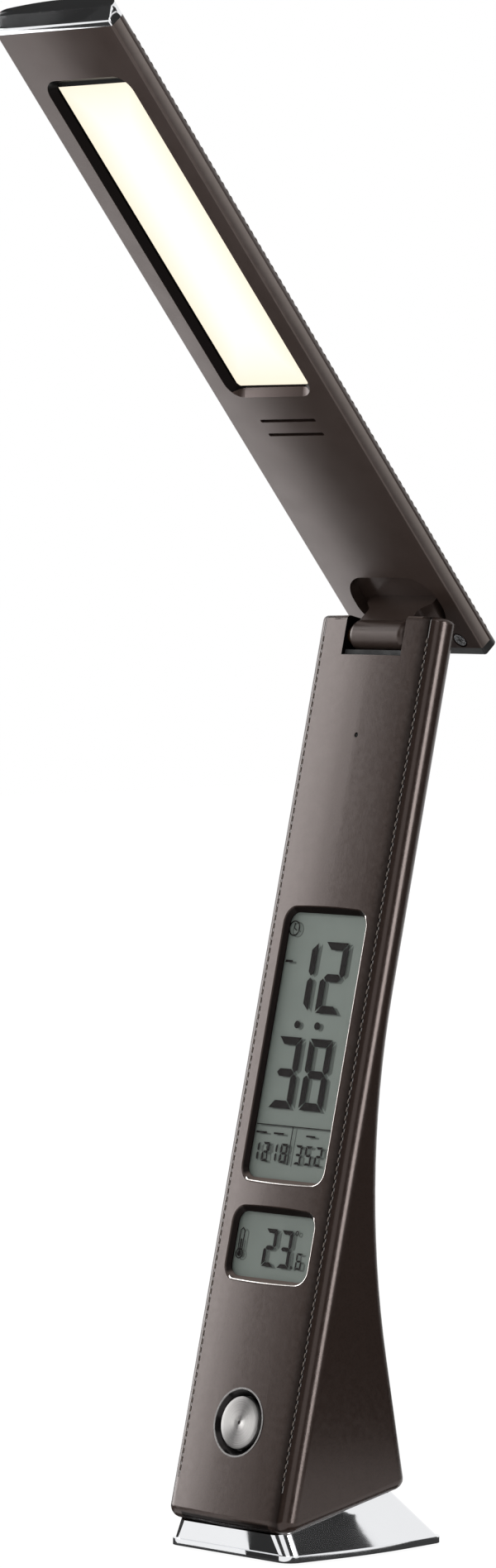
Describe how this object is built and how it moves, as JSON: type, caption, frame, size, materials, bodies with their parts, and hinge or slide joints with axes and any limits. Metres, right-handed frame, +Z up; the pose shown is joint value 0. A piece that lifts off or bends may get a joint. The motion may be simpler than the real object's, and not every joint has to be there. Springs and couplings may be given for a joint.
{
  "type": "led desk lamp",
  "caption": "Slim folding desk lamp: a flat light head hinged on a leaning leather-covered stand with calendar clock and thermometer displays, push button and flared bright foot.",
  "frame": {"origin": "middle of the foot pad's underside, on the desk", "axes": "+Z up, -Y to the front that the displays face, +X to the right as seen from the back and to the viewer's right as seen from the front"},
  "size_m": [0.0586, 0.1572, 0.4507],
  "materials": {
    "leather": "smooth stitched leather, dark brown",
    "brown_plastic": "satin moulded plastic, dark brown",
    "dark_plastic": "fine-grained black plastic",
    "bright_chrome": "mirror chrome plating",
    "spun_metal": "spun face with radial sheen",
    "dark_metal": "dark bronze satin",
    "steel": "plain steel",
    "bronze": "plain bearing metal",
    "iron": "rough casting",
    "rubber": "matt rubber",
    "clear_lens": "clear window",
    "display": "grey-green liquid crystal display",
    "diffuser": "milky diffuser",
    "clear_plastic": "clear moulding",
    "white_film": "white film",
    "circuit_board": "green solder mask",
    "chip": "phosphor-coated chip",
    "cell": "foil-wrapped cell",
    "lead": "soft insulation"
  },
  "bodies": {
    "stand": {"stand_front_shell": "leather", "stand_rear_cover": "brown_plastic", "battery_cradle": "dark_plastic", "power_switch": "dark_plastic", "set_switches": "dark_plastic", "buzzer": "dark_plastic", "base_plinth": "bright_chrome", "button_bezel": "dark_metal", "base_plate": "steel", "base_screws": "steel", "cover_screws": "steel", "board_screws": "steel", "hinge_pins": "steel", "charge_port": "steel", "hinge_washers": "bronze", "base_weight": "iron", "foot_pad": "rubber", "clock_lens": "clear_lens", "thermometer_lens": "clear_lens", "clock_lcd": "display", "thermometer_lcd": "display", "charge_indicator": "clear_plastic", "display_board": "circuit_board", "control_board": "circuit_board", "port_board": "circuit_board", "battery_cell": "cell", "stand_lead": "lead"},
    "head": {"hinge_knuckle": "brown_plastic", "hinge_bushes": "bronze", "knuckle_screws": "steel", "head_lower_cover": "brown_plastic", "head_upper_cover": "leather", "head_screws": "steel", "tip_cap": "bright_chrome", "tail_cap": "dark_plastic", "led_diffuser": "diffuser", "light_guide": "clear_plastic", "reflector_sheet": "white_film", "led_boards": "circuit_board", "led_chips": "chip", "head_lead": "lead"},
    "power_key": {"power_button": "spun_metal"},
    "down_key": {"down_button": "dark_plastic"},
    "set_key": {"set_button": "dark_plastic"},
    "up_key": {"up_button": "dark_plastic"}
  },
  "joints": [
    {"name": "head_fold", "type": "hinge", "parent": "stand", "child": "head", "pos_m": [0, 0.03308, 0.26758], "axis": [1, 0, 0], "range_deg": [-53, 126]},
    {"name": "power_press", "type": "slide", "parent": "stand", "child": "power_key", "axis": [0, 0.9727, -0.2323], "range_m": [0, 0.0006], "stiffness_N_per_m": 400},
    {"name": "down_press", "type": "slide", "parent": "stand", "child": "down_key", "axis": [0, -0.9727, 0.2323], "range_m": [0, 0.0003], "stiffness_N_per_m": 500},
    {"name": "set_press", "type": "slide", "parent": "stand", "child": "set_key", "axis": [0, -0.9727, 0.2323], "range_m": [0, 0.0003], "stiffness_N_per_m": 500},
    {"name": "up_press", "type": "slide", "parent": "stand", "child": "up_key", "axis": [0, -0.9727, 0.2323], "range_m": [0, 0.0003], "stiffness_N_per_m": 500}
  ]
}
